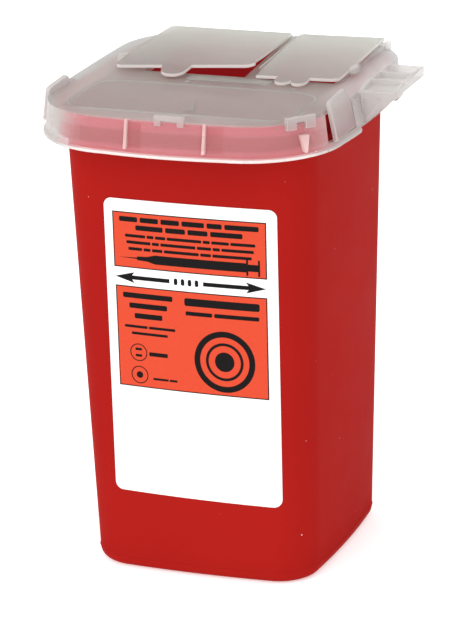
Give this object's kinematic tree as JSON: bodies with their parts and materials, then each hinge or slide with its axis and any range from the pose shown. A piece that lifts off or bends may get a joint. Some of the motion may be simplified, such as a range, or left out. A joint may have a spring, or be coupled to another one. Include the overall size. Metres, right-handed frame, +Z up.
{
  "type": "sharps container",
  "caption": "Tapered one-quart sharps container with a frosted press-fit lid, a large and a small hinged flap, spring lock arms, a side bracket and a front label.",
  "frame": {"origin": "centre of the flat bottom face of the container", "axes": "+Z up through the lid, -Y out of the front face with the label, +X towards the side with the lid's bracket"},
  "size_m": [0.1092, 0.1148, 0.1597],
  "materials": {
    "red_plastic": "satin, opaque",
    "frosted_plastic": "frosted, translucent",
    "label_film": "smooth, semi-matte"
  },
  "bodies": {
    "base": {"container": "red_plastic", "front_label": "label_film"},
    "lid": {"lid_frame": "frosted_plastic", "side_bracket": "frosted_plastic", "front_catch": "frosted_plastic", "corner_catch": "frosted_plastic", "large_flap_hinge": "frosted_plastic", "small_flap_hinge": "frosted_plastic"},
    "large_flap_leaf": {"large_flap": "frosted_plastic"},
    "small_flap_leaf": {"small_flap": "frosted_plastic"},
    "left_arm": {"left_lock_arm": "frosted_plastic"},
    "right_arm": {"right_lock_arm": "frosted_plastic"}
  },
  "joints": [
    {"name": "lid_lift", "type": "slide", "parent": "base", "child": "lid", "axis": [0, 0, 1], "range_m": [0, 0.06]},
    {"name": "large_flap_swing", "type": "hinge", "parent": "lid", "child": "large_flap_leaf", "pos_m": [0, 0.044, 0.1573], "axis": [-1, 0, 0], "range_deg": [-0.75, 110]},
    {"name": "small_flap_swing", "type": "hinge", "parent": "lid", "child": "small_flap_leaf", "pos_m": [0, 0.044, 0.1573], "axis": [-1, 0, 0], "range_deg": [0, 110]},
    {"name": "left_arm_flex", "type": "hinge", "parent": "lid", "child": "left_arm", "pos_m": [-0.0473, -0.0256, 0.1465], "axis": [0, 1, 0], "range_deg": [-3, 5], "stiffness_Nm_per_rad": 0.2},
    {"name": "right_arm_flex", "type": "hinge", "parent": "lid", "child": "right_arm", "pos_m": [0.048, -0.0256, 0.1465], "axis": [0, -1, 0], "range_deg": [-3, 5], "stiffness_Nm_per_rad": 0.2}
  ]
}
